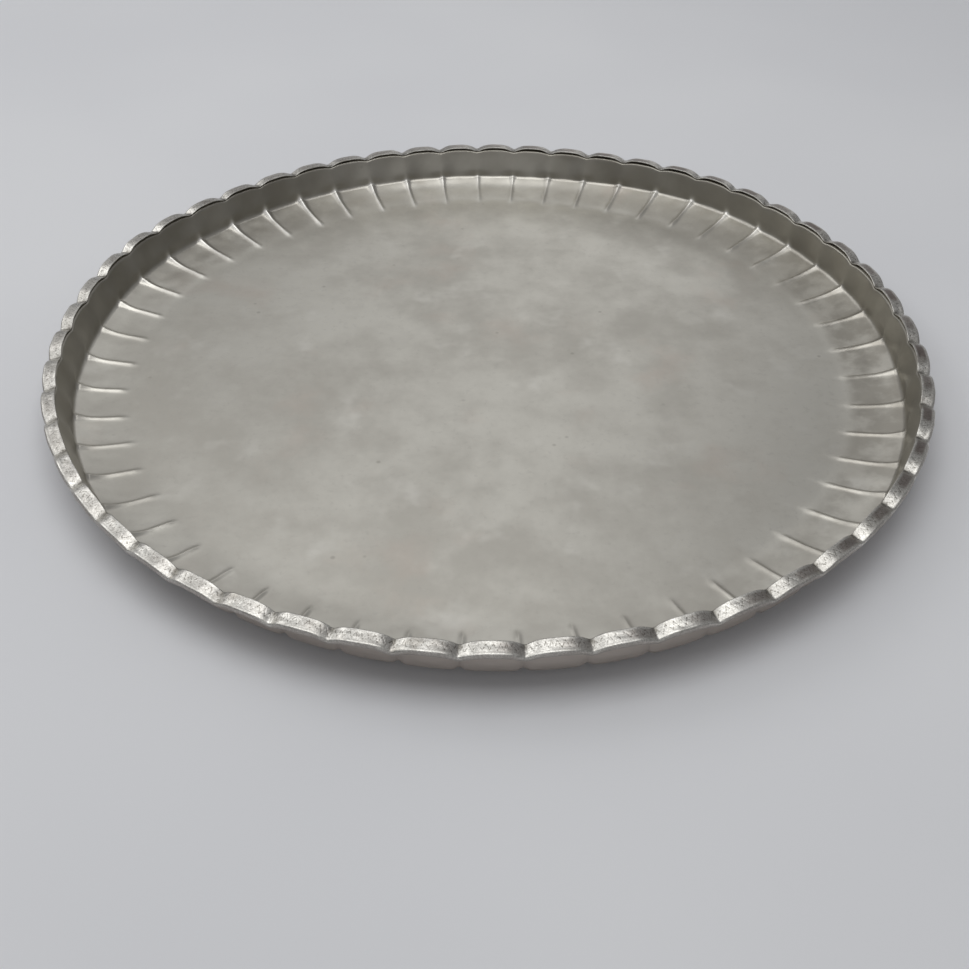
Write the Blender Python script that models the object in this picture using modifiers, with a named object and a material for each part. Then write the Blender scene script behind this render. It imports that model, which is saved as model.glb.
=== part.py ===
"""Round serving tray raised by hand from tinned copper sheet.

Three pieces: the fluted pan, the chased strip that folds over its flange, and the wire inside the fold.
Metres, +Z up, with the origin on the table under the middle of the tray.
"""

import math

import bmesh
import bpy
from mathutils import Vector

# Stock and fits
SHEET = 0.0009
STRIP = 0.0006
WIRE = 0.0010
CLEARANCE = 0.0003

# Pan, at the middle of a lobe
LOBES = 53
FLOOR_RADIUS = 0.1885
MARGIN_WIDTH = 0.0250
MARGIN_RISE = 0.0050
CORNER_WIDTH = 0.0030
CORNER_RISE = 0.0042
WALL_HEIGHT = 0.0145
WALL_LEAN = 0.0024
FLANGE_WIDTH = 0.0038
FLANGE_RISE = 0.0010

# How the pan is drawn in at the cusps between the lobes
RIDGE_HEIGHT = 0.0025
FLUTE_DEPTH = 0.0020
TOP_FLUTE_DEPTH = 0.0016
WALL_PINCH = 0.0010
FLANGE_NOTCH = 0.0006
FLANGE_DROP = 0.0025
CREASE_SHARPNESS = 0.35
CORNER_SHARPNESS = 0.6

# Rim strip
UPPER_LEAF = 0.0046
LEAF_LIFT = 0.0016
WALL_GAP = 0.0009

# Facets
FACETS_PER_LOBE = 4
FOLD_ANGLES = (90, 45, 0, -45, -90)
WIRE_BEVEL_STEPS = 1
SHARP_ANGLE = math.radians(30)

# Finishes: base colour, metallic, roughness
FINISHES = {
    "tinned_copper": ((0.62, 0.60, 0.55, 1), 1.0, 0.34),
    "chased_tin": ((0.66, 0.64, 0.60, 1), 1.0, 0.28),
    "iron_wire": ((0.16, 0.14, 0.12, 1), 1.0, 0.55),
}

STEPS = LOBES * FACETS_PER_LOBE


def clear_scene():
    for old in list(bpy.data.objects):
        bpy.data.objects.remove(old, do_unlink=True)


def new_collection(name):
    collection = bpy.data.collections.new(name)
    bpy.context.scene.collection.children.link(collection)
    return collection


def finish(name):
    colour, metallic, roughness = FINISHES[name]
    material = bpy.data.materials.new(name)
    material.use_nodes = True
    shader = material.node_tree.nodes["Principled BSDF"]
    shader.inputs["Base Color"].default_value = colour
    shader.inputs["Metallic"].default_value = metallic
    shader.inputs["Roughness"].default_value = roughness
    return material


def lobe_share(angle, sharpness=1.0):
    """1 at the middle of a lobe and 0 at a cusp; a low sharpness keeps the cusp's ridge narrow."""
    return abs(math.cos(LOBES * angle / 2)) ** sharpness


def around(middle, cusp, sharpness=1.0):
    """The points that one section point takes round the tray, from its places at lobe and cusp."""
    points = []
    for step in range(STEPS):
        angle = 2 * math.pi * step / STEPS
        radius, height = cusp.lerp(middle, lobe_share(angle, sharpness))
        points.append((radius * math.cos(angle), radius * math.sin(angle), height))
    return points


def fluted_sheet(name, middles, cusps, sharpnesses, floored):
    """Open surface lofted round the tray between the section of a lobe and that of a cusp."""
    bm = bmesh.new()
    rows = []
    for middle, cusp, sharpness in zip(middles, cusps, sharpnesses):
        rows.append([bm.verts.new(point) for point in around(middle, cusp, sharpness)])
    for inner, outer in zip(rows, rows[1:]):
        for step in range(STEPS):
            after = (step + 1) % STEPS
            bm.faces.new((inner[step], outer[step], outer[after], inner[after]))
    if floored:
        bmesh.ops.poke(bm, faces=[bm.faces.new(rows[0])])
    mesh = bpy.data.meshes.new(name)
    bm.to_mesh(mesh)
    bm.free()
    mesh.shade_smooth()
    mesh.set_sharp_from_angle(angle=SHARP_ANGLE)
    return bpy.data.objects.new(name, mesh)


def thicken(sheet, thickness, offset):
    solid = sheet.modifiers.new("thickness", "SOLIDIFY")
    solid.thickness = thickness
    solid.offset = offset
    solid.use_even_offset = True


def pan_sections():
    """The pan's upper face at the middle of a lobe and at a cusp, from the floor's edge to the flange's."""
    floor_edge = Vector((FLOOR_RADIUS, SHEET))
    half_margin = floor_edge + Vector((MARGIN_WIDTH / 2, MARGIN_RISE / 4))
    margin_end = floor_edge + Vector((MARGIN_WIDTH, MARGIN_RISE))
    wall_foot = margin_end + Vector((CORNER_WIDTH, CORNER_RISE))
    wall_top = wall_foot + Vector((WALL_LEAN, WALL_HEIGHT))
    flange_edge = wall_top + Vector((FLANGE_WIDTH, FLANGE_RISE))
    middles = [floor_edge, half_margin, margin_end, wall_foot, wall_top, flange_edge]
    drawn_in = [
        Vector((0, 0)),
        Vector((0, RIDGE_HEIGHT / 2)),
        Vector((-FLUTE_DEPTH / 2, RIDGE_HEIGHT)),
        Vector((-FLUTE_DEPTH, RIDGE_HEIGHT)),
        Vector((-TOP_FLUTE_DEPTH, -WALL_PINCH)),
        Vector((-FLANGE_NOTCH, -FLANGE_DROP)),
    ]
    cusps = [point + shift for point, shift in zip(middles, drawn_in)]
    return middles, cusps


def flange_frame(section):
    """The flange's outward and upward directions, and the middle of the wire beyond its edge."""
    wall_top, flange_edge = section[-2:]
    outward = (flange_edge - wall_top).normalized()
    upward = Vector((-outward.y, outward.x))
    edge_middle = flange_edge - upward * SHEET / 2
    return outward, upward, edge_middle + outward * (CLEARANCE + WIRE / 2)


def band_section(section, lift):
    """The strip's centreline: upper leaf, fold round the wire, lower leaf under the flange."""
    outward, upward, wire_middle = flange_frame(section)
    fold = max(SHEET, WIRE) / 2 + CLEARANCE + STRIP / 2
    points = []
    for degrees in FOLD_ANGLES:
        turn = math.radians(degrees)
        points.append(wire_middle + (outward * math.cos(turn) + upward * math.sin(turn)) * fold)
    raw_edge = points[0] - outward * UPPER_LEAF + Vector((0, lift))
    lower_leaf = FLANGE_WIDTH - SHEET - WALL_GAP
    lower_edge = points[-1] - outward * lower_leaf
    return [raw_edge, *points, lower_edge]


def make_pan(middles, cusps):
    sharpnesses = [1, CREASE_SHARPNESS, CORNER_SHARPNESS, CORNER_SHARPNESS, 1, 1]
    pan = fluted_sheet("tray_pan", middles, cusps, sharpnesses, floored=True)
    thicken(pan, SHEET, offset=-1)
    pan.data.materials.append(finish("tinned_copper"))
    return pan


def make_band(middles, cusps):
    band_middles = band_section(middles, LEAF_LIFT)
    band_cusps = band_section(cusps, 0)
    band = fluted_sheet("rim_band", band_middles, band_cusps, [1] * len(band_cusps), floored=False)
    thicken(band, STRIP, offset=0)
    band.data.materials.append(finish("chased_tin"))
    return band


def make_wire(middles, cusps):
    curve = bpy.data.curves.new("rim_wire", "CURVE")
    curve.dimensions = "3D"
    curve.twist_mode = "Z_UP"
    curve.bevel_depth = WIRE / 2
    curve.bevel_resolution = WIRE_BEVEL_STEPS
    points = around(flange_frame(middles)[2], flange_frame(cusps)[2])
    spline = curve.splines.new("POLY")
    spline.points.add(len(points) - 1)
    for target, point in zip(spline.points, points):
        target.co = (*point, 1)
    spline.use_cyclic_u = True
    curve.materials.append(finish("iron_wire"))
    return bpy.data.objects.new("rim_wire", curve)


def main():
    clear_scene()
    tray = new_collection("round_serving_tray")
    middles, cusps = pan_sections()
    pan = make_pan(middles, cusps)
    for piece in (pan, make_band(middles, cusps), make_wire(middles, cusps)):
        tray.objects.link(piece)
        if piece is not pan:
            piece.parent = pan


main()
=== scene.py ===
"""The round serving tray dressed for a picture: fine surfaces over its frame, finishes, light and camera.

Every surface is a grid of points. One parameter runs round the tray, the other along a section of the sheet.
Sections are in millimetres of radius and height; meshes are in metres, +Z up, the origin under the middle.
Angles round the tray run from +X towards +Y.
"""

import math

import bpy
import numpy as np
from mathutils import Matrix, Vector


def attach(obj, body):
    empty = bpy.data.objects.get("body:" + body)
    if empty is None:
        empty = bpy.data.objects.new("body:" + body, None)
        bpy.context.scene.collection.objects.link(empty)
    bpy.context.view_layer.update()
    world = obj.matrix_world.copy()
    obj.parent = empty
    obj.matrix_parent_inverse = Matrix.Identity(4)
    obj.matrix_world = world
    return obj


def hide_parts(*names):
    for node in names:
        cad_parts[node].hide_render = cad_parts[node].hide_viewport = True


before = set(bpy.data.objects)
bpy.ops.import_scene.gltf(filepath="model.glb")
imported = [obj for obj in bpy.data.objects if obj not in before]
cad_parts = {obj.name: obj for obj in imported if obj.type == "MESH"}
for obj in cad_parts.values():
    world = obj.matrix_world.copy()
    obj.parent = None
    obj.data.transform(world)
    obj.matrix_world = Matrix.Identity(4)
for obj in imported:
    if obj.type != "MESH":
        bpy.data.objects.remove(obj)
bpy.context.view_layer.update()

MM = 0.001
TURN = 2 * np.pi

# Stock and fits, as in the frame
LOBES = 53
SHEET = 0.9
STRIP = 0.6
WIRE = 1.0
GAP = 0.3

# The pan's upper face at the middle of a lobe: a radius alone, or radius and height
FLOOR_RADIUS = 188.5
MARGIN_RADIUS = 212.2
WALL_FOOT = np.array((214.4, 8.9))
WALL_TOP = np.array((217.5, 23.4))
FLANGE_EDGE = np.array((221.9, 24.0))

# The margin's bends, inner and outer: the radius of each, how soft it is, and the slope that it adds
MARGIN_BENDS = ((187.0, 5.0, 0.15), (205.0, 4.0, 0.17))

# Handles of the curve from margin to wall, and of the one from wall to flange with its reach on both sides
CORNER_LEAVE = 0.7
CORNER_ARRIVE = 1.8
EDGE_HANDLE = 0.4
EDGE_REACH = 1.3

# How far the upper face shifts at a cusp: radius and height, and the share of the last step made on the edge
CREASE_HEIGHT = 1.15
MARGIN_SHIFT = np.array((-1.0, 2.2))
FOOT_SHIFT = np.array((-1.0, 1.6))
TOP_SHIFT = np.array((-0.7, -0.7))
FLANGE_SHIFT = np.array((-0.5, -2.3))
EDGE_SHARE = 0.3

# Across a crease: half its width, what its two ends add to that, how round it is, and its low swell
CREASE_HALF_WIDTH = 1.3
OUTER_END_WIDENS = 0.9
INNER_END_WIDENS = 0.5
CREST_ROUNDING = 0.4
TOE_ROUNDING = 0.2
SWELL_SHARE = 0.1
SWELL_WIDTH = 5.0

# Along a crease: the radius where it starts, how far it takes to grow, and how much of its height it has
CREASE_START = 184.7
CREASE_GROWTH = 5.8
CREASE_BOLDNESS = 0.66

# Heights between which creases turn into flutes, the margin into the wall, and flutes into sharp scallops
FLUTES_BEGIN = (7.0, 12.0)
WALL_BEGINS = (6.3, 8.0)
SCALLOPS_BEGIN = (17.0, 23.0)
FLUTE_SOFTNESS = 0.7
SCALLOP_SOFTNESS = 0.12
SCALLOP_FULLNESS = 1.7

# Where the hand, wear or painted light changes things round the tray, as bells: a size, a place and a spread
# in degrees
RIM_KNOCKED_OUT = ((5.5, 50, 16), (2.0, 22, 16), (3.2, 157, 14))
FOOT_OUT = ((2.2, 284, 28), (1.8, 35, 21))
CREASES_BOLDER = ((0.28, 136, 26), (-0.3, 92, 20))
CREASES_DRIFT = ((3.0, 198, 26), (-5.0, 350, 15))
CREASES_LATE = ((7.5, 257, 30), (-3.0, 330, 28))
# Less, then more dirt with painted shade, a painted dark reflection, on the margin
LESS_GRIME_AND_SHADE = ((-0.5, 58, 22),)
GRIME_AND_SHADE_LEFT = ((0.7, 138, 26),)
# Painted highlights on crests and on crease tips
CRESTS_HIGHLIGHTED = ((1.0, 128, 32),)
TIPS_HIGHLIGHTED = ((0.9, 52, 24),)

# Stains and painted light of the pan: oxidised tin with painted shade thins out over the flange, dirt with
# painted shade at the right has a direction in radians, and painted highlights follow the crests
# Oxidised tin with painted shade under the rim on the wall, thinned over the flange
BLOOM_AND_SHADE_THINNED = 0.7
BLOOM_AND_SHADE_UP_TO = (217.5, 219.5)
# Dirt with painted shade at the right: its share and direction, then the radii where it starts
GRIME_AND_SHADE_AT_RIGHT = 0.85
GRIME_AND_SHADE_DIRECTION = 0.17
GRIME_AND_SHADE_FROM = (185.0, 193.0)
# How strongly the painted highlight follows a crease's ridge
HIGHLIGHT_REACH = 1.15

# The wall's foot: how far it is flattened at the left and pushed in at the far side, the place and spread of
# that push in degrees, and the radii and heights between which all of this comes in and goes out
LEFT_FLATTENED = 1.4
FAR_PUSHED_IN = 3.2
FAR_PUSH = (93, 22)
FOOT_FROM = (201.0, 214.5)
FOOT_UP_TO = (8.0, 24.0)

# The facet along the far margin: its place and spread in degrees, how soft it makes the outer bend, how far
# it lifts the end, and the shares of the margin and the heights between which it comes in and goes out
FAR_FACET = (80, 35)
FACET_SOFTNESS = 10.0
FACET_LIFT = 0.72
FACET_FROM = (0, 0.2)
FACET_UP_TO = (6.0, 9.2)

# Radii between which creases begin to swerve, and the floor begins to follow the rim that is knocked out
SWERVE_FROM = (150.0, 186.0)
BULGE_FROM = (110.0, 186.0)

# Chances of the hand: a crease's height, how far its ends miss the cusp and how late it starts
HEIGHT_CHANCE = 0.16
MISS_CHANCE = 0.35
LATE_CHANCE = (-1.0, 1.2)
CREASE_SEED = 53

# Chances in a lobe of the strip: how far the leaf is bent up, and how much it is worn
BENT_CHANCE = (0.8, 1.15)
WORN_CHANCE = (0.6, 1.1)
STRIP_SEED = 35

# Unevenness of hand work: depth, length of the waves, and the seed of their directions; then how many waves
# are summed, the share of them that makes up the depth, and by how much their lengths differ
FLOOR_SWAYS = (0.07, 60, 3)
FLOOR_DENTS = (0.03, 17, 4)
MARGIN_DENTS = (0.06, 10, 6)
WALL_DENTS = (0.12, 22, 5)
STRIP_DENTS = (0.05, 7, 8)
WAVES = 10
DEPTH_SHARE = 0.4
LENGTH_CHANCE = (0.7, 1.4)

# Radii and heights between which the dents of floor, margin and wall come in or go out
DENTS_UP_TO = (212.0, 216.0)
MARGIN_DENTS_FROM = (188.0, 196.0)
WALL_DENTS_UP_TO = (20.0, 23.0)

# Spacing of the lobes by eye, in radians: a turn of all, then waves round the rim, each as cosine and sine
SPACING_TURN = 0.0051
SPACING_WAVES = ((1, 0.0073, 0.0141), (2, 0.0110, 0.0226))

# The rim strip: leaf over the flange, its lift at the middle of a lobe, its droop at a cusp, leaf underneath,
# half the height of the fold, and the power that squares the fold, where 1 would leave it round
UPPER_LEAF = 5.1
LEAF_LIFT = 1.35
EDGE_DROOP = 0.5
LOWER_LEAF = 2.0
FOLD = max(SHEET, WIRE) / 2 + GAP + STRIP / 2
SQUARENESS = 0.62

# The circle that the strip's dents are laid on, and how much closer they are across the strip
STRIP_RADIUS = 220.0
DENTS_CLOSER = 2

# Shares by which the leaf lifts more in front and less at the far side, and more at the right than the left
LIFT_TO_FRONT = 0.2
LIFT_TO_RIGHT = 0.1

# Chasing on the strip: zigzags in a lobe, the band that they cover from its raw edge, depth and half width of
# the marks, how far past the leaf they may run, and the distances from a cusp, in lobes, where they come in
ZIGZAGS = 9
ZIGZAG_FROM = 1.3
ZIGZAG_TO = 4.3
CHASE_DEPTH = 0.05
CHASE_WIDTH = 0.42
CHASE_PAST_LEAF = 0.3
CHASE_FROM_CUSP = (0.03, 0.07)

# How the pace of the zigzag wanders: radians in a lobe, whole waves round the rim, and the sway in zigzags
WANDERS = ((TURN * 73 / LOBES, 0.2), (TURN * 164 / LOBES, 0.08))

# Wear and painted shade of the strip, in lobes along the rim, millimetres across it and radians round the
# tray.
# Painted shade fills the cusps. Tin worn through, with painted shade, lies round a core, measured from the
# cusp before it, that lies further on in front.
# Painted shade in the cusps: its width, then where it ends across the strip
CUSP_WIDTH = 0.05
CUSP_UP_TO = (1.0, 4.2)
CORE = 0.56
CORE_IN_FRONT = 0.22
CORE_HALF_WIDTH = 0.14
CORE_FADES = 0.10
WORN_FROM = (0.5, 1.5)
WORN_UP_TO = (4.6, 5.6)
# How much tin is worn through, with painted shade: all round, more at the right, its direction and the least
WORN_AND_SHADED_ALL_ROUND = 0.4
WORN_AND_SHADED_AT_RIGHT = 0.5
WORN_AND_SHADED_DIRECTION = 0.2
WORN_AND_SHADED_LEAST = 0.18
# Tarnished tin with painted shade: where it starts round the fold, its share under the fold and inside
TARNISH_AND_SHADE_FROM = (UPPER_LEAF + 1.0, UPPER_LEAF + 1.5)
TARNISH_AND_SHADE_UNDER = 0.6
TARNISH_AND_SHADE_INSIDE = 0.24

# The strip laid flat for its finish: millimetres to one unit of its map, and the line where its inside lies
MAP_UNIT = 10.0
INSIDE_ON_MAP = 0.95

# Rows of the pan's upper face: radii on the floor, shares of the margin, then counts up to the flange's edge
FLOOR_ROWS = np.array((14.0, 40.0, 66.0, 92.0, 118.0, 142.0, 160.0, 173.0, 181.0, 184.5, 186.0, 187.3))
MARGIN_ROWS = np.array((0, .05, .10, .16, .23, .31, .39, .47, .55, .62, .69, .75, .81, .86, .90, .94, .975))
CORNER_ROWS = 10
WALL_ROWS = 8
EDGE_ROWS = 5
FLANGE_ROWS = 3

# Rows of the upper face that the underside repeats, from the flange's edge back to the middle
UNDER_ROWS = np.r_[54, 51:46:-2, 44, 41, 38:29:-2, 28:9:-3, 7, 0]

# Columns in a lobe, how much they crowd together at the cusps, and sides of the wire
PAN_COLUMNS = 24
PAN_CROWDING = 0.91
STRIP_COLUMNS = 54
STRIP_CROWDING = 0.35
WIRE_COLUMNS = 12
WIRE_SIDES = 8

# Rows of the strip's outside: on the upper leaf, round the fold and on the lower leaf
LEAF_ROWS = 17
FOLD_ROWS = 8
LOWER_ROWS = 2

# Colours of the finishes
TIN_DULL = (0.53, 0.51, 0.46, 1)
TIN_CLEAN = (0.665, 0.647, 0.588, 1)
TIN_SPECKED = (0.45, 0.43, 0.39, 1)
TIN_WARM = (0.60, 0.52, 0.455, 1)
TIN_RUBBED = (0.80, 0.785, 0.73, 1)
TIN_PITTED = (0.30, 0.28, 0.24, 1)
# Dirt on the margin with painted shade, a painted dark reflection
TIN_GRIMY_AND_SHADED = (0.34, 0.32, 0.28, 1)
# Painted highlight on crests and crease tips
TIN_HIGHLIGHT = (0.97, 0.955, 0.91, 1)
# Oxidised tin on the wall with painted shade under the rim
WALL_BLOOM_AND_SHADE = (0.305, 0.288, 0.247, 1)
OUTSIDE_TIN = (0.54, 0.485, 0.445, 1)
STRIP_DULL = (0.64, 0.625, 0.585, 1)
STRIP_BRIGHT = (0.78, 0.765, 0.72, 1)
STIPPLE_GRIME = (0.16, 0.147, 0.125, 1)
STRIP_BLOTCH = (0.25, 0.22, 0.18, 1)
# Painted shade in the cusps
CUSP_SHADE = (0.12, 0.11, 0.09, 1)
# Worn-through copper with painted shade on the lobes' darker ends and at the right
WORN_BROWN_AND_SHADE = (0.17, 0.135, 0.12, 1)
# Tarnished tin with painted shade under the fold and inside it
FOLD_TARNISH_AND_SHADE = (0.26, 0.22, 0.20, 1)
IRON = (0.16, 0.14, 0.125, 1)
RUST = (0.20, 0.11, 0.065, 1)
TABLE_SHADE = (0.77, 0.78, 0.805, 1)
TABLE_PALE = (0.81, 0.82, 0.84, 1)

# Half the side of the table top
TABLE_REACH = 4000.0

# Lamps, in metres: name, width and height, place, and radiance
LAMPS = (
    ("overhead", (1.2, 1.2), (0.0, -0.1, 1.6), 1.75),
    ("overhead_left", (1.0, 1.0), (-1.0, -0.1, 1.5), 0.8),
    ("high_behind", (1.1, 0.8), (-0.3, 1.1, 1.85), 0.56),
    ("left", (1.0, 1.0), (-1.5, 1.0, 1.4), 1.7),
    ("behind_left", (1.3, 1.0), (-1.3, 1.7, 1.2), 0.26),
    ("behind", (1.2, 1.3), (0.0, 2.0, 1.4), 0.385),
    ("behind_right", (1.4, 0.7), (0.65, 2.1, 0.85), 0.36),
    ("front", (2.4, 1.2), (0.0, -2.2, 1.2), 0.27),
)
AIR_COLOUR = (0.98, 0.98, 1.0, 1)
AIR_STRENGTH = 0.24

# The camera: sensor and lens in millimetres, angles in degrees, places in metres, shift of the view in pixels
SENSOR = 36.0
LENS = 44.25
TILT_DOWN = 37.42
ROLL = 0.41
CAMERA_PLACE = (-0.0017, -0.5228, 0.3648)
NEAREST = 0.01
PICTURE_SIDE = 969
VIEW_SHIFT = -66.5


# Places round the tray

def lobe_columns(per_lobe, crowding):
    """Even angles of the columns. In each lobe a share runs from cusp to cusp, less a sine of itself, which
    shortens the steps next to the cusps."""
    share = np.arange(per_lobe) / per_lobe
    share = share - crowding * np.sin(TURN * share) / TURN
    return ((np.arange(LOBES)[:, None] - 0.5 + share) * TURN / LOBES).ravel()


def hand_set(even):
    """Where the maker's eye really put an angle: the even angle, turned a little, plus slow waves."""
    angle = even + SPACING_TURN
    for waves, cosine, sine in SPACING_WAVES:
        angle = angle + cosine * np.cos(waves * even) + sine * np.sin(waves * even)
    return angle


def rim_lobes(even):
    """An even angle counted in lobes, from the cusp where the first lobe starts."""
    return even * LOBES / TURN + 0.5


def from_cusp(even):
    """Signed distance to the nearest cusp in lobes, from -0.5 to 0.5, and that cusp's number."""
    lobes = rim_lobes(even)
    nearest = np.round(lobes)
    return lobes - nearest, nearest.astype(int) % LOBES


def lobe_arch(lobes, softness, fullness):
    """1 at the middle of a lobe and 0 at a cusp: the size of a sine of half a turn a lobe, with its sharp
    valley rounded by adding the softness in squares. The power of the fullness flattens the lobe's top."""
    arch = np.hypot(np.sin(np.pi * lobes), softness)
    arch = (arch - softness) / (np.hypot(1, softness) - softness)
    return 1 - (1 - arch) ** fullness


def near(angle, degrees, spread, power=2):
    """1 at a place round the tray, fading on both sides as a bell whose spread is in degrees too. A higher
    power makes the bell's top flatter and its sides steeper."""
    away = (angle - math.radians(degrees) + np.pi) % TURN - np.pi
    return np.exp(-(away / math.radians(spread)) ** power)


def bells(angle, places):
    """The sum of some bells round the tray, each with its size, place and spread."""
    return sum(size * near(angle, degrees, spread) for size, degrees, spread in places)


def hand_waves(x, y, depth, length, seed):
    """Unevenness of hand work, about the depth up and down: the sum of plane waves near one length, in
    scattered directions and phases, scaled so that it seldom passes the depth."""
    dice = np.random.default_rng(seed)
    total = 0
    for _ in range(WAVES):
        turn, phase = dice.uniform(0, TURN, 2)
        pace = TURN / (length * dice.uniform(*LENGTH_CHANCE))
        total = total + np.sin(pace * (x * np.cos(turn) + y * np.sin(turn)) + phase)
    return depth * total / (DEPTH_SHARE * WAVES)


def smooth_step(value, low, high):
    """0 below low, 1 above high, and a cubic S between."""
    share = np.clip((value - low) / (high - low), 0, 1)
    return share * share * (3 - 2 * share)


# Meshes

def unit(vectors):
    """Vectors, along the last axis, brought to length 1."""
    return vectors / np.linalg.norm(vectors, axis=-1, keepdims=True)


def steps(start, end, count, endpoint=False):
    """Evenly spaced points from start towards end; the end itself is left out unless it is asked for."""
    return start + np.linspace(0, 1, count, endpoint=endpoint)[:, None] * (end - start)


def bend(start, leave, arrive, end, count):
    """Points on a cubic curve from start towards end, with a handle at each; the end itself is left out."""
    share = np.arange(count)[:, None] / count
    return ((1 - share) ** 3 * start + 3 * (1 - share) ** 2 * share * leave
            + 3 * (1 - share) * share ** 2 * arrive + share ** 3 * end)


def ring_faces(rows, columns, rows_close):
    """Corner numbers of the quads between neighbouring rows; the columns close round the tray. Also each
    corner's row and column counted on past the seam, for maps on the surface."""
    row, column = np.meshgrid(np.arange(rows if rows_close else rows - 1), np.arange(columns), indexing="ij")
    corner_row = np.stack([row, row + 1, row + 1, row], -1).reshape(-1, 4)
    corner_column = np.stack([column, column, column + 1, column + 1], -1).reshape(-1, 4)
    return (corner_row % rows) * columns + corner_column % columns, corner_row, corner_column


def polar(radius, angle, height):
    """Points from radius, angle and height arrays of one shape."""
    return np.stack([radius * np.cos(angle), radius * np.sin(angle), height], -1).reshape(-1, 3)


def rim_points(place, angle):
    """Points of a piece of the rim from their places in the section: the rim is knocked out of round."""
    radius = place[..., 0] + bells(angle, RIM_KNOCKED_OUT)
    return polar(radius, np.broadcast_to(angle, radius.shape), place[..., 1])


def piece(name, points, faces):
    """A smooth-shaded object at the origin from points in millimetres and faces as corner numbers."""
    mesh = bpy.data.meshes.new(name)
    mesh.from_pydata((points * MM).tolist(), [], faces)
    mesh.shade_smooth()
    obj = bpy.data.objects.new(name, mesh)
    bpy.context.scene.collection.objects.link(obj)
    return obj


def stain_map(obj, name, values):
    """Keeps one number for each point of a piece, for its finish to read."""
    layer = obj.data.attributes.new(name, "FLOAT", "POINT")
    layer.data.foreach_set("value", np.ascontiguousarray(values, np.float32).ravel())


# The pan

def dish(radius):
    """Height of the upper face from the floor to the end of the margin. At each bend a hyperbola turns it up
    by the bend's slope."""
    height = SHEET
    for start, softness, slope in MARGIN_BENDS:
        past = radius - start
        height = height + slope * (past + np.hypot(past, softness)) / 2
    return height


def pan_section():
    """The upper face at the middle of a lobe, row by row: floor and margin on the dish, a cubic curve at the
    corner, the straight wall, a cubic curve at its top and the straight flange."""
    margin_radii = FLOOR_RADIUS + MARGIN_ROWS * (MARGIN_RADIUS - FLOOR_RADIUS)
    dish_radii = np.concatenate([FLOOR_ROWS, margin_radii])
    margin_end = np.array((MARGIN_RADIUS, dish(MARGIN_RADIUS)))
    slope = dish(MARGIN_RADIUS + 0.5) - dish(MARGIN_RADIUS - 0.5)
    rise = unit(WALL_TOP - WALL_FOOT)
    outward = unit(FLANGE_EDGE - WALL_TOP)
    leave = margin_end + CORNER_LEAVE * np.array((1, slope))
    arrive = WALL_FOOT - CORNER_ARRIVE * rise
    below_top = WALL_TOP - EDGE_REACH * rise
    past_top = WALL_TOP + EDGE_REACH * outward
    return np.vstack([
        np.stack([dish_radii, dish(dish_radii)], -1),
        bend(margin_end, leave, arrive, WALL_FOOT, CORNER_ROWS),
        steps(WALL_FOOT, below_top, WALL_ROWS),
        bend(below_top, WALL_TOP - EDGE_HANDLE * rise, WALL_TOP + EDGE_HANDLE * outward, past_top, EDGE_ROWS),
        steps(past_top, FLANGE_EDGE, FLANGE_ROWS, endpoint=True),
    ])


def cusp_shifts():
    """How far each row shifts at a cusp. The floor has the crease's height only. Along the margin the inward
    shift grows as a cube and the height as a sixth power, and then each goes evenly on to the next place."""
    inward = MARGIN_SHIFT[0] * MARGIN_ROWS ** 3
    upward = CREASE_HEIGHT + (MARGIN_SHIFT[1] - CREASE_HEIGHT) * MARGIN_ROWS ** 6
    edge_shift = TOP_SHIFT + EDGE_SHARE * (FLANGE_SHIFT - TOP_SHIFT)
    return np.vstack([
        np.tile((0, CREASE_HEIGHT), (len(FLOOR_ROWS), 1)),
        np.stack([inward, upward], -1),
        steps(MARGIN_SHIFT, FOOT_SHIFT, CORNER_ROWS),
        steps(FOOT_SHIFT, TOP_SHIFT, WALL_ROWS),
        steps(TOP_SHIFT, edge_shift, EDGE_ROWS),
        steps(edge_shift, FLANGE_SHIFT, FLANGE_ROWS, endpoint=True),
    ])


class PanGrid:
    """The pan's rows, from the middle to the flange's edge, and its columns round the tray.

    For each row: along goes from 0 at the floor's edge to 1 at the margin's end, creased is 1 below the
    flutes, and upright is 1 on the wall. For each column: chances of the hand at its crease, which are its
    height, how far its two ends miss the cusp and how late it starts.
    """

    def __init__(self):
        section = pan_section()
        self.radius, self.height = section[:, :1], section[:, 1:]
        self.along = np.clip((self.radius - FLOOR_RADIUS) / (MARGIN_RADIUS - FLOOR_RADIUS), 0, 1)
        self.creased = 1 - smooth_step(self.height, *FLUTES_BEGIN)
        self.upright = smooth_step(self.height, *WALL_BEGINS)
        self.even = lobe_columns(PAN_COLUMNS, PAN_CROWDING)
        self.angle = hand_set(self.even)
        self.lobes, cusp = from_cusp(self.even)
        dice = np.random.default_rng(CREASE_SEED)
        self.tall = 1 + dice.uniform(-HEIGHT_CHANCE, HEIGHT_CHANCE, LOBES)[cusp]
        self.aside = dice.uniform(-MISS_CHANCE, MISS_CHANCE, (2, LOBES))[:, cusp]
        self.late = dice.uniform(*LATE_CHANCE, LOBES)[cusp]


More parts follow.
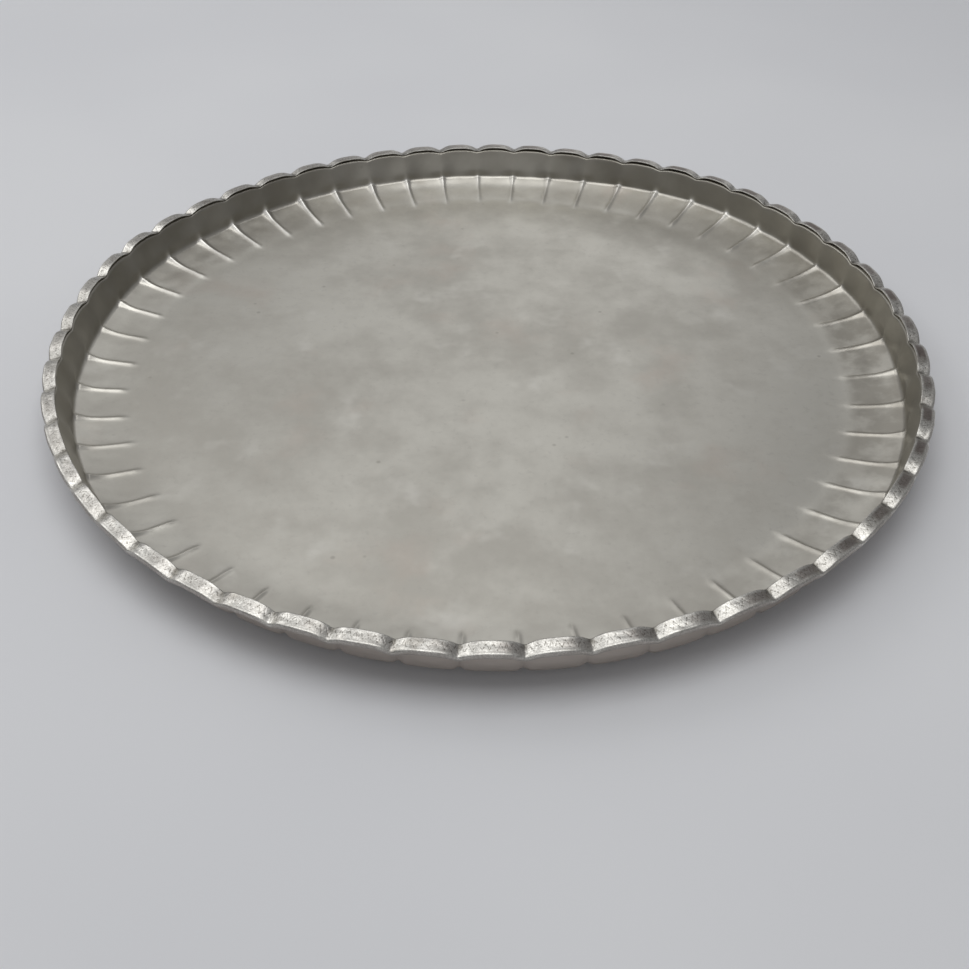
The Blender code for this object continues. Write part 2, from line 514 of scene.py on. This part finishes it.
def crease_ridges(grid):
    """Height of the ridge at each cusp, 0 to about 1. Across the crease it is a tent with a round crest and
    round toes, on a low bell. Along it the ridge grows from nothing, later in some stretches of the tray."""
    across = grid.lobes * TURN * grid.radius / LOBES
    half_width = (CREASE_HALF_WIDTH + OUTER_END_WIDENS * grid.along ** 6
                  + INNER_END_WIDENS * (1 - grid.along) ** 4)
    tent = 1 - (np.hypot(across, CREST_ROUNDING) - CREST_ROUNDING) / half_width
    tent = (tent + np.hypot(tent, TOE_ROUNDING)) / (1 + np.hypot(1, TOE_ROUNDING))
    swell = np.exp(-(across / SWELL_WIDTH) ** 2)
    start = CREASE_START + grid.late + bells(grid.angle, CREASES_LATE)
    grown = smooth_step(grid.radius, start, start + CREASE_GROWTH)
    return ((1 - SWELL_SHARE) * tent + SWELL_SHARE * swell) * grid.tall * grown


def crease_swerve(grid):
    """Angle by which a crease lies beside its cusp: its ends miss by chance, and whole creases drift at the
    left and the right. It fades out inwards over the floor and upwards into the wall."""
    missed = (grid.aside[0] + grid.aside[1] * (1 - grid.along)) * np.cos(np.pi * grid.lobes) ** 2
    sideways = missed + bells(grid.angle, CREASES_DRIFT)
    return sideways * grid.creased * smooth_step(grid.radius, *SWERVE_FROM) / grid.radius


def foot_out(angle):
    """How far the wall's foot stands out of its circle: bells outwards, less a squared cosine that flattens
    the left and a flat-topped bell that pushes the far side in."""
    flattened = LEFT_FLATTENED * np.minimum(np.cos(angle), 0) ** 2
    return bells(angle, FOOT_OUT) - flattened - FAR_PUSHED_IN * near(angle, *FAR_PUSH, power=4)


def far_facet(grid):
    """How far the far margin is raised: its outer bend is eased into a softer hyperbola and a cube lifts its
    end, within a flat-topped bell round the tray. The floor and the wall stay as they are."""
    start, softness, slope = MARGIN_BENDS[1]
    past = grid.radius - start
    eased = slope * (np.hypot(past, FACET_SOFTNESS) - np.hypot(past, softness)) / 2
    on_margin = smooth_step(grid.along, *FACET_FROM) * (1 - smooth_step(grid.height, *FACET_UP_TO))
    return near(grid.angle, *FAR_FACET, power=4) * (FACET_LIFT * grid.along ** 3 + eased) * on_margin


def upper_face(grid, ridge):
    """Radius and height of the upper face. A point is its place at mid-lobe plus its row's cusp shift times
    the ridge on the margin or the flute on the wall, with the foot out of round and the far margin raised."""
    bold = CREASE_BOLDNESS + bells(grid.angle, CREASES_BOLDER)
    crimp = smooth_step(grid.height, *SCALLOPS_BEGIN)
    softness = FLUTE_SOFTNESS + (SCALLOP_SOFTNESS - FLUTE_SOFTNESS) * crimp
    flute = 1 - lobe_arch(grid.lobes, softness, 1 + (SCALLOP_FULLNESS - 1) * crimp)
    drawn = grid.creased * bold * ridge + (1 - grid.creased) * flute
    shift = cusp_shifts()
    low_wall = smooth_step(grid.radius, *FOOT_FROM) * (1 - smooth_step(grid.height, *FOOT_UP_TO))
    radius = grid.radius + shift[:, :1] * drawn + foot_out(grid.angle) * low_wall
    height = grid.height + shift[:, 1:] * drawn + far_facet(grid)
    return radius, height


def sheet_below(radius, height):
    """The underside: each point lies one sheet away from the upper face, square to its column."""
    out, up = np.gradient(radius, axis=0), np.gradient(height, axis=0)
    length = np.hypot(out, up)
    return radius + SHEET * up / length, height - SHEET * out / length


def hammered(grid, radius, height):
    """The upper face with its unevenness: floor and margin wave up and down, the wall in and out."""
    x, y = radius * np.cos(grid.angle), radius * np.sin(grid.angle)
    below_wall = 1 - smooth_step(grid.radius, *DENTS_UP_TO)
    past_floor = smooth_step(grid.radius, *MARGIN_DENTS_FROM)
    below_rim = grid.upright * (1 - smooth_step(grid.height, *WALL_DENTS_UP_TO))
    up_down = hand_waves(x, y, *FLOOR_SWAYS) + hand_waves(x, y, *FLOOR_DENTS)
    up_down = up_down + past_floor * hand_waves(x, y, *MARGIN_DENTS)
    return radius + below_rim * hand_waves(x, y, *WALL_DENTS), height + below_wall * up_down


def both_faces(upper, under):
    """The rows of the upper face outwards, then the underside's rows back to the middle."""
    return np.vstack([upper, under[UNDER_ROWS]])


def pan_faces(count, columns):
    """Quads between the rows, and two fans that close the middle with the two points after the rows."""
    quads, _, _ = ring_faces(count // columns, columns, rows_close=False)
    step = np.arange(columns)
    after = (step + 1) % columns
    last_row = count - columns
    top_fan = np.stack([np.full(columns, count), step, after], -1)
    under_fan = np.stack([np.full(columns, count + 1), last_row + after, last_row + step], -1)
    return quads.tolist() + top_fan.tolist() + under_fan.tolist()


def stain_pan(pan, grid, ridge):
    """Where the pan's finish changes: oxidised tin with painted shade under the rim on the wall that thins
    out over the flange, dirt with painted shade (a painted dark reflection) on the margin at the right and
    the far left, painted highlights on crests and crease tips on the far side, and the outside."""
    angle = grid.angle
    # Oxidised tin with painted shade under the rim on the wall, thinning over the flange
    bloom_and_shade = grid.upright * (1 - BLOOM_AND_SHADE_THINNED * smooth_step(grid.radius, *BLOOM_AND_SHADE_UP_TO))
    # Dirt with painted shade, a painted dark reflection, on the margin at the right and far left
    darkened = GRIME_AND_SHADE_AT_RIGHT * np.clip(np.cos(angle - GRIME_AND_SHADE_DIRECTION), 0, 1) + bells(angle, LESS_GRIME_AND_SHADE)
    darkened = np.clip(darkened, 0, 1) + bells(angle, GRIME_AND_SHADE_LEFT)
    grime_and_shade = darkened * smooth_step(grid.radius, *GRIME_AND_SHADE_FROM) * (1 - grid.upright)
    # Painted highlights on crests and crease tips
    lightened = bells(angle, CRESTS_HIGHLIGHTED) * (1 + grid.along) / 2 + bells(angle, TIPS_HIGHLIGHTED) * grid.along ** 3
    crest_highlight = np.clip(lightened, 0, 1) * np.clip(HIGHLIGHT_REACH * ridge, 0, 1) * grid.creased
    stains = (("wall", bloom_and_shade, 0), ("crest_highlight", crest_highlight, 0), ("grime_and_shade", grime_and_shade, 0), ("outside", 0, 1))
    for name, upper, under in stains:
        rows = both_faces(np.broadcast_to(upper, ridge.shape), np.full(ridge.shape, under))
        stain_map(pan, name, np.append(rows, (0, under)))


def make_pan():
    """One sheet: floor, creased margin, fluted wall and flange above, and an underside on fewer rows below.
    The outer part of it is knocked out of round with the rim."""
    grid = PanGrid()
    ridge = crease_ridges(grid)
    upper_radius, upper_height = upper_face(grid, ridge)
    under_radius, under_height = sheet_below(upper_radius, upper_height)
    upper_radius, upper_height = hammered(grid, upper_radius, upper_height)
    bulge = bells(grid.angle, RIM_KNOCKED_OUT) * smooth_step(grid.radius, *BULGE_FROM)
    angle = grid.angle + crease_swerve(grid)
    points = polar(both_faces(upper_radius + bulge, under_radius + bulge), both_faces(angle, angle),
                   both_faces(upper_height, under_height))
    faces = pan_faces(len(points), len(grid.even))
    middles = ((0, 0, SHEET), (0, 0, 0))
    pan = piece("tray_pan_sheet", np.vstack([points, middles]), faces)
    stain_pan(pan, grid, ridge)
    return pan


# The rim strip and its wire

def fold_frame(lobes):
    """For each column, the flange's outward and upward directions, the middle of the wire past its edge, and
    the lobe's arch. Flange ends are their mid-lobe places plus their cusp shift times what the arch lacks."""
    arch = lobe_arch(lobes, SCALLOP_SOFTNESS, SCALLOP_FULLNESS)
    lacking = (1 - arch)[:, None]
    edge = FLANGE_EDGE + FLANGE_SHIFT * lacking
    outward = unit(edge - WALL_TOP - TOP_SHIFT * lacking)
    upward = np.stack([-outward[:, 1], outward[:, 0]], -1)
    wire = edge - upward * SHEET / 2 + outward * (GAP + WIRE / 2)
    return outward, upward, wire, arch


def strip_rows():
    """The strip's section, row by row: distance along its middle line from the raw edge, and side, which is 1
    outside and -1 inside."""
    leaf = np.linspace(0, UPPER_LEAF, LEAF_ROWS)
    bow = UPPER_LEAF + np.linspace(0, np.pi * FOLD, FOLD_ROWS + 1)[1:]
    lower = bow[-1] + np.linspace(0, LOWER_LEAF, LOWER_ROWS + 1)[1:]
    outer = np.concatenate([leaf, bow, lower])
    inner = np.array((lower[-1], bow[-1], bow[FOLD_ROWS // 2 - 1], UPPER_LEAF, UPPER_LEAF / 2, 0.0))
    side = np.concatenate([np.ones(len(outer)), -np.ones(len(inner))])
    return np.concatenate([outer, inner])[:, None], side[:, None]


class StripGrid:
    """The strip's rows along its section and its columns round the tray, with chances of the hand and of wear
    for each column's lobe: how far the leaf is bent up and how much it is worn."""

    def __init__(self):
        self.along, self.side = strip_rows()
        self.even = lobe_columns(STRIP_COLUMNS, STRIP_CROWDING)
        self.angle = hand_set(self.even)
        self.on_rim = rim_lobes(self.even)
        self.lobes, _ = from_cusp(self.even)
        lobe = np.floor(self.on_rim).astype(int) % LOBES
        dice = np.random.default_rng(STRIP_SEED)
        self.bent = dice.uniform(*BENT_CHANCE, LOBES)[lobe]
        self.worn = dice.uniform(*WORN_CHANCE, LOBES)[lobe]


def chasing(lobes_on, across):
    """Depth of the chased marks, 0 to 1: a zigzag rocked along the strip, whose pace wanders in two sines."""
    count = ZIGZAGS * lobes_on
    for pace, sway in WANDERS:
        count = count + sway * np.sin(pace * lobes_on)
    swing = np.abs(count % 1 - 0.5) * 2
    line = ZIGZAG_FROM + (ZIGZAG_TO - ZIGZAG_FROM) * swing
    return np.exp(-((across - line) / CHASE_WIDTH) ** 2)


def strip_middle(grid):
    """The strip's middle line and the directions square to it. The leaves are straight, and the fold between
    them is half a superellipse round the wire. The upper leaf lifts at mid-lobe and droops at a cusp."""
    outward, upward, wire, arch = fold_frame(grid.lobes)
    along = grid.along[..., None]
    turn = np.clip((along - UPPER_LEAF) / FOLD, 0, np.pi)
    out, up, up_side = np.sin(turn), np.abs(np.cos(turn)), np.sign(np.cos(turn))
    bow = outward * out ** SQUARENESS + upward * up_side * up ** SQUARENESS
    square_to = unit(outward * out ** (2 - SQUARENESS) + upward * up_side * up ** (2 - SQUARENESS))
    leaf = np.clip(UPPER_LEAF - along, 0, None)
    lower = np.clip(along - UPPER_LEAF - np.pi * FOLD, 0, None)
    tipped = 1 - LIFT_TO_FRONT * np.sin(grid.angle) + LIFT_TO_RIGHT * np.cos(grid.angle)
    raised = LEAF_LIFT * tipped * grid.bent * arch - EDGE_DROOP * (1 - arch)
    lift = raised[:, None] * leaf / UPPER_LEAF * np.array((0, 1))
    return wire + bow * FOLD - outward * (leaf + lower) + lift, square_to


def map_strip(strip, grid, row, column):
    """Lays the strip flat for its finish: lobes along the rim against the distance from the raw edge."""
    along, side = grid.along[:, 0], grid.side[:, 0]
    spread = np.append(grid.on_rim, LOBES)[column]
    row = row % len(along)
    reach = np.where(side[row] > 0, along[row] / MAP_UNIT, INSIDE_ON_MAP)
    layer = strip.data.uv_layers.new(name="strip")
    layer.data.foreach_set("uv", np.stack([spread, reach], -1).astype(np.float32).ravel())


def stain_strip(strip, grid):
    """Where the strip's finish changes: painted shade in the cusps, tin worn through with painted shade at
    the middle of the lobes, most at the right, and tarnished tin with painted shade under the fold and inside
    it."""
    along, angle, outside = grid.along, grid.angle, grid.side > 0
    # Painted shade in the cusps
    in_cusp = np.exp(-(grid.lobes / CUSP_WIDTH) ** 2) * (1 - smooth_step(along, *CUSP_UP_TO))
    # Worn tin with painted shade round a core on the lobes' darker ends, strongest at the right
    core = CORE - CORE_IN_FRONT * np.minimum(np.sin(angle), 0)
    past_core = np.maximum(np.abs(grid.lobes % 1 - core) - CORE_HALF_WIDTH, 0)
    on_leaf = smooth_step(along, *WORN_FROM) * (1 - smooth_step(along, *WORN_UP_TO)) * outside
    worn_and_shaded_amount = WORN_AND_SHADED_ALL_ROUND + WORN_AND_SHADED_AT_RIGHT * np.cos(angle - WORN_AND_SHADED_DIRECTION)
    worn_and_shaded_amount = np.clip(worn_and_shaded_amount, WORN_AND_SHADED_LEAST, 1) * grid.worn
    worn_and_shaded = on_leaf * np.exp(-(past_core / CORE_FADES) ** 2) * worn_and_shaded_amount
    # Tarnished tin with painted shade under the fold and inside it
    tarnish_and_shade = np.where(outside, TARNISH_AND_SHADE_UNDER * smooth_step(along, *TARNISH_AND_SHADE_FROM), TARNISH_AND_SHADE_INSIDE)
    stain_map(strip, "cusp", in_cusp)
    stain_map(strip, "worn_and_shaded", worn_and_shaded)
    stain_map(strip, "tarnish_and_shade", np.broadcast_to(tarnish_and_shade, worn_and_shaded.shape))


def make_strip():
    """The strip folded over the flange. Each row sits on the middle line plus or minus half the strip; chased
    marks sink the upper leaf, less next to the cusps, and the outside is a little uneven."""
    grid = StripGrid()
    outside = grid.side > 0
    marks = chasing(grid.on_rim, grid.along) * outside * (grid.along < UPPER_LEAF + CHASE_PAST_LEAF)
    marks = marks * smooth_step(np.abs(grid.lobes), *CHASE_FROM_CUSP)
    uneven = hand_waves(grid.along * DENTS_CLOSER, grid.angle * STRIP_RADIUS, *STRIP_DENTS) * outside
    offset = grid.side * STRIP / 2 - CHASE_DEPTH * marks + uneven
    middle, square_to = strip_middle(grid)
    points = rim_points(middle + square_to * offset[..., None], grid.angle)
    quads, row, column = ring_faces(len(grid.along), len(grid.even), rows_close=True)
    strip = piece("rim_strip", points, quads.tolist())
    map_strip(strip, grid, row, column)
    stain_strip(strip, grid)
    return strip


def make_wire():
    """The stiffening wire: a circle carried round the tray inside the fold."""
    even = lobe_columns(WIRE_COLUMNS, crowding=0.0)
    lobes, _ = from_cusp(even)
    outward, upward, wire, _ = fold_frame(lobes)
    turn = np.arange(WIRE_SIDES)[:, None, None] * TURN / WIRE_SIDES
    place = wire + WIRE / 2 * (outward * np.sin(turn) + upward * np.cos(turn))
    quads, _, _ = ring_faces(WIRE_SIDES, len(even), rows_close=True)
    return piece("rim_wire_round", rim_points(place, hand_set(even)), quads.tolist())


# Finishes

class Finish:
    """A fresh material, with calls that make its nodes and join them; where is the place on the object."""

    def __init__(self, name):
        self.material = bpy.data.materials.new(name)
        self.material.use_nodes = True
        self.tree = self.material.node_tree
        self.where = self.put("ShaderNodeTexCoord", {}).outputs["Object"]

    def join(self, node, inputs):
        """Joins each named input of a node to a socket, or sets it to a value."""
        for name, value in inputs.items():
            if isinstance(value, bpy.types.NodeSocket):
                self.tree.links.new(value, node.inputs[name])
            else:
                node.inputs[name].default_value = value

    def put(self, kind, inputs, **settings):
        """A new node with its settings and inputs."""
        node = self.tree.nodes.new(kind)
        for name, value in settings.items():
            setattr(node, name, value)
        self.join(node, inputs)
        return node

    def shade(self, inputs):
        """Sets or joins the shader's inputs, and gives the finished material."""
        self.join(self.tree.nodes["Principled BSDF"], inputs)
        return self.material

    def cloud(self, scale, detail, roughness, shift=None):
        """Noise about a size of one over scale, in metres; a shift takes it from another place."""
        where = self.where
        if shift:
            where = self.put("ShaderNodeMapping", {"Vector": where, "Location": shift}).outputs["Vector"]
        inputs = {"Vector": where, "Scale": scale, "Detail": detail, "Roughness": roughness}
        return self.put("ShaderNodeTexNoise", inputs).outputs["Fac"]

    def span(self, value, low, high, to_low=0.0, to_high=1.0):
        """A value carried from one range to another by a cubic S, clamped."""
        inputs = {"Value": value, "From Min": low, "From Max": high, "To Min": to_low, "To Max": to_high}
        return self.put("ShaderNodeMapRange", inputs, interpolation_type="SMOOTHSTEP").outputs["Result"]

    def work_out(self, operation, *values):
        """One step of arithmetic on values or sockets."""
        return self.put("ShaderNodeMath", dict(enumerate(values)), operation=operation).outputs[0]

    def plus(self, first, second):
        """Two values added."""
        return self.work_out("ADD", first, second)

    def minus(self, first, second):
        """The second value taken from the first."""
        return self.work_out("SUBTRACT", first, second)

    def times(self, first, second):
        """Two values multiplied."""
        return self.work_out("MULTIPLY", first, second)

    def blend(self, share, first, second):
        """A colour that goes from first to second as the share goes from 0 to 1."""
        inputs = {"Factor": share, 6: first, 7: second}
        return self.put("ShaderNodeMix", inputs, data_type="RGBA").outputs[2]

    def stain(self, name):
        """The number that a piece keeps for each point under this name."""
        return self.put("ShaderNodeAttribute", {}, attribute_name=name).outputs["Fac"]

    def bump(self, height, strength, distance):
        """A surface direction from a height."""
        inputs = {"Height": height, "Strength": strength, "Distance": distance}
        return self.put("ShaderNodeBump", inputs).outputs["Normal"]


def tin_patches(tin, tone, fine, warm):
    """Colour of wiped tin: dull and clean clouds, fine specks, warm and rubbed patches, groups of pits."""
    colour = tin.blend(tin.span(tone, 0.38, 0.62), TIN_DULL, TIN_CLEAN)
    colour = tin.blend(tin.span(fine, 0.55, 0.75, 0, 0.25), colour, TIN_SPECKED)
    colour = tin.blend(tin.span(warm, 0.56, 0.72, 0, 0.35), colour, TIN_WARM)
    lightened = tin.cloud(scale=34, detail=3, roughness=0.6, shift=(4, 9, 0))
    colour = tin.blend(tin.span(lightened, 0.56, 0.78, 0, 0.45), colour, TIN_RUBBED)
    spots = tin.put("ShaderNodeTexVoronoi", {"Vector": tin.where, "Scale": 75.0}).outputs["Distance"]
    groups = tin.cloud(scale=25, detail=2, roughness=0.5, shift=(1, 5, 0))
    pits = tin.times(tin.span(spots, 0.03, 0.12, 1, 0), tin.span(groups, 0.56, 0.62))
    return tin.blend(tin.times(pits, 0.45), colour, TIN_PITTED)


def tin_stains(tin, colour, warm, outside):
    """The tin's colour with dirt and painted shade on the margin, painted highlights on crests, oxidised tin
    and painted shade on the wall and a warmer outside.
    """
    smudge = tin.cloud(scale=55, detail=4, roughness=0.6, shift=(5, 3, 0))
    # Dirt with painted shade on the margin
    grime_and_shade = tin.times(tin.stain("grime_and_shade"), tin.span(smudge, 0.36, 0.6, 0.35, 1))
    colour = tin.blend(grime_and_shade, colour, TIN_GRIMY_AND_SHADED)
    # Painted highlights on crests and crease tips
    crest_highlight = tin.stain("crest_highlight")
    colour = tin.blend(crest_highlight, colour, TIN_HIGHLIGHT)
    # Oxidised tin with painted shade on the wall
    bloom_and_shade = tin.times(tin.minus(tin.stain("wall"), crest_highlight), tin.span(warm, 0.35, 0.7, 0.55, 0.95))
    colour = tin.blend(bloom_and_shade, colour, WALL_BLOOM_AND_SHADE)
    return tin.blend(tin.times(outside, 0.85), colour, OUTSIDE_TIN)


def tinned_copper():
    """Hand-wiped tin over copper: cloudy, pitted and stained, with painted shade and painted highlights,
    rougher where it is dull, with small dents.
    """
    tin = Finish("hand_wiped_tin")
    wide = tin.cloud(scale=9, detail=5, roughness=0.6)
    middle = tin.cloud(scale=38, detail=5, roughness=0.6, shift=(3, 1, 0))
    fine = tin.cloud(scale=330, detail=3, roughness=0.6)
    warm = tin.cloud(scale=17, detail=4, roughness=0.55, shift=(7, 2, 0))
    outside = tin.stain("outside")
    tone = tin.plus(tin.times(wide, 0.6), tin.times(middle, 0.4))
    colour = tin_stains(tin, tin_patches(tin, tone, fine, warm), warm, outside)
    rough = tin.plus(tin.span(tone, 0.35, 0.65, 0.44, 0.34), tin.times(outside, 0.12))
    dents = tin.bump(tin.plus(middle, tin.times(fine, 0.12)), strength=0.25, distance=0.0006)
    return tin.shade({"Base Color": colour, "Metallic": 1.0, "Roughness": rough, "Normal": dents})


def zigzag_cut(tin):
    """The chased zigzag on the strip's map, 1 on its line and 0 beside it, where the mesh is cut too."""
    flat = tin.put("ShaderNodeUVMap", {}, uv_map="strip").outputs["UV"]
    split = tin.put("ShaderNodeSeparateXYZ", {"Vector": flat})
    lobe, reach = split.outputs["X"], tin.times(split.outputs["Y"], MAP_UNIT)
    count = tin.times(lobe, float(ZIGZAGS))
    for pace, sway in WANDERS:
        count = tin.plus(count, tin.times(tin.work_out("SINE", tin.times(lobe, pace)), sway))
    swing = tin.minus(1.0, tin.times(tin.work_out("PINGPONG", count, 0.5), 2.0))
    line = tin.plus(tin.times(swing, ZIGZAG_TO - ZIGZAG_FROM), ZIGZAG_FROM)
    return tin.span(tin.work_out("ABSOLUTE", tin.minus(reach, line)), 0.1, 0.6, 1, 0)


def chased_tin():
    """Bright tin of the strip: a stippled zigzag dark with dirt, blotched, painted shade in the cusps, worn
    brown with painted shade in places and tarnished with painted shade beneath."""
    tin = Finish("chased_bright_tin")
    cut = zigzag_cut(tin)
    mottle = tin.cloud(scale=60, detail=5, roughness=0.6)
    speck = tin.cloud(scale=1400, detail=3, roughness=0.65)
    blotch = tin.cloud(scale=85, detail=2, roughness=0.5, shift=(2, 6, 0))
    tarnish_and_shade = tin.stain("tarnish_and_shade")
    stipple = tin.times(tin.span(cut, 0, 1, 0.38, 1), tin.span(speck, 0.42, 0.55, 0.0, 0.9))
    colour = tin.blend(tin.span(mottle, 0.35, 0.65), STRIP_DULL, STRIP_BRIGHT)
    colour = tin.blend(stipple, colour, STIPPLE_GRIME)
    colour = tin.blend(tin.span(blotch, 0.60, 0.72, 0, 0.4), colour, STRIP_BLOTCH)
    # Painted shade in the cusps
    colour = tin.blend(tin.times(tin.stain("cusp"), 0.8), colour, CUSP_SHADE)
    # Worn copper with painted shade
    colour = tin.blend(tin.times(tin.stain("worn_and_shaded"), 0.95), colour, WORN_BROWN_AND_SHADE)
    # Tarnished tin with painted shade under and inside the fold
    colour = tin.blend(tin.times(tarnish_and_shade, 0.9), colour, FOLD_TARNISH_AND_SHADE)
    rough = tin.plus(tin.span(mottle, 0.3, 0.7, 0.40, 0.32), tin.times(tarnish_and_shade, 0.25))
    relief = tin.bump(tin.minus(tin.times(speck, 0.4), cut), strength=0.12, distance=0.0002)
    return tin.shade({"Base Color": colour, "Metallic": 1.0, "Roughness": rough, "Normal": relief})


def dull_iron():
    """Drawn iron with rust in patches."""
    iron = Finish("dull_iron")
    rust = iron.cloud(scale=120, detail=4, roughness=0.6)
    colour = iron.blend(iron.span(rust, 0.45, 0.65), IRON, RUST)
    rough = iron.span(rust, 0.3, 0.7, 0.45, 0.75)
    return iron.shade({"Base Color": colour, "Metallic": 1.0, "Roughness": rough})


def pale_table():
    """The plain pale surface under the tray."""
    table = Finish("pale_table")
    soft = table.cloud(scale=3, detail=2, roughness=0.5)
    colour = table.blend(table.span(soft, 0.3, 0.7), TABLE_SHADE, TABLE_PALE)
    return table.shade({"Base Color": colour, "Roughness": 0.9, "Specular IOR Level": 0.1})


# Stage

def make_floor():
    """A flat square under the tray."""
    corners = np.array(((-1, -1, 0), (1, -1, 0), (1, 1, 0), (-1, 1, 0))) * TABLE_REACH
    floor = piece("table_top", corners, [(0, 1, 2, 3)])
    floor.data.materials.append(pale_table())


def make_lamp(name, size, place, radiance):
    """A soft rectangular lamp that faces the tray: its power is its radiance times its area times pi."""
    lamp = bpy.data.lights.new(name, "AREA")
    lamp.shape = "RECTANGLE"
    lamp.size, lamp.size_y = size
    lamp.energy = radiance * math.pi * size[0] * size[1]
    obj = bpy.data.objects.new(name, lamp)
    facing = (-Vector(place)).to_track_quat("-Z", "Y").to_matrix().to_4x4()
    obj.matrix_world = Matrix.Translation(place) @ facing
    bpy.context.scene.collection.objects.link(obj)


def make_light():
    """Soft lamps above, behind and in front of the tray, brighter to the left, and grey air all round."""
    for lamp in LAMPS:
        make_lamp(*lamp)
    world = bpy.data.worlds.new("grey_air")
    bpy.context.scene.world = world
    world.use_nodes = True
    air = world.node_tree.nodes["Background"]
    air.inputs["Color"].default_value = AIR_COLOUR
    air.inputs["Strength"].default_value = AIR_STRENGTH


def make_camera():
    """The picture's viewpoint: tilted down, rolled a little, and shifted, as the tray is high in it."""
    data = bpy.data.cameras.new("viewpoint")
    data.sensor_width = SENSOR
    data.lens = LENS
    data.shift_y = VIEW_SHIFT / PICTURE_SIDE
    data.clip_start = NEAREST
    camera = bpy.data.objects.new("viewpoint", data)
    tilt = Matrix.Rotation(math.radians(90 - TILT_DOWN), 4, "X")
    roll = Matrix.Rotation(math.radians(ROLL), 4, "Z")
    camera.matrix_world = Matrix.Translation(CAMERA_PLACE) @ tilt @ roll
    bpy.context.scene.collection.objects.link(camera)
    bpy.context.scene.camera = camera


def dress(obj, node, finish):
    """Gives a piece its finish and its place on the frame, and hides the node that it stands for."""
    obj.data.materials.append(finish)
    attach(obj, "root")
    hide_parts(node)


def main():
    """Makes the three pieces and the stage."""
    dress(make_pan(), "tray_pan", tinned_copper())
    dress(make_strip(), "rim_band", chased_tin())
    dress(make_wire(), "rim_wire", dull_iron())
    make_floor()
    make_light()
    make_camera()
    bpy.context.scene.view_settings.view_transform = "Standard"


main()
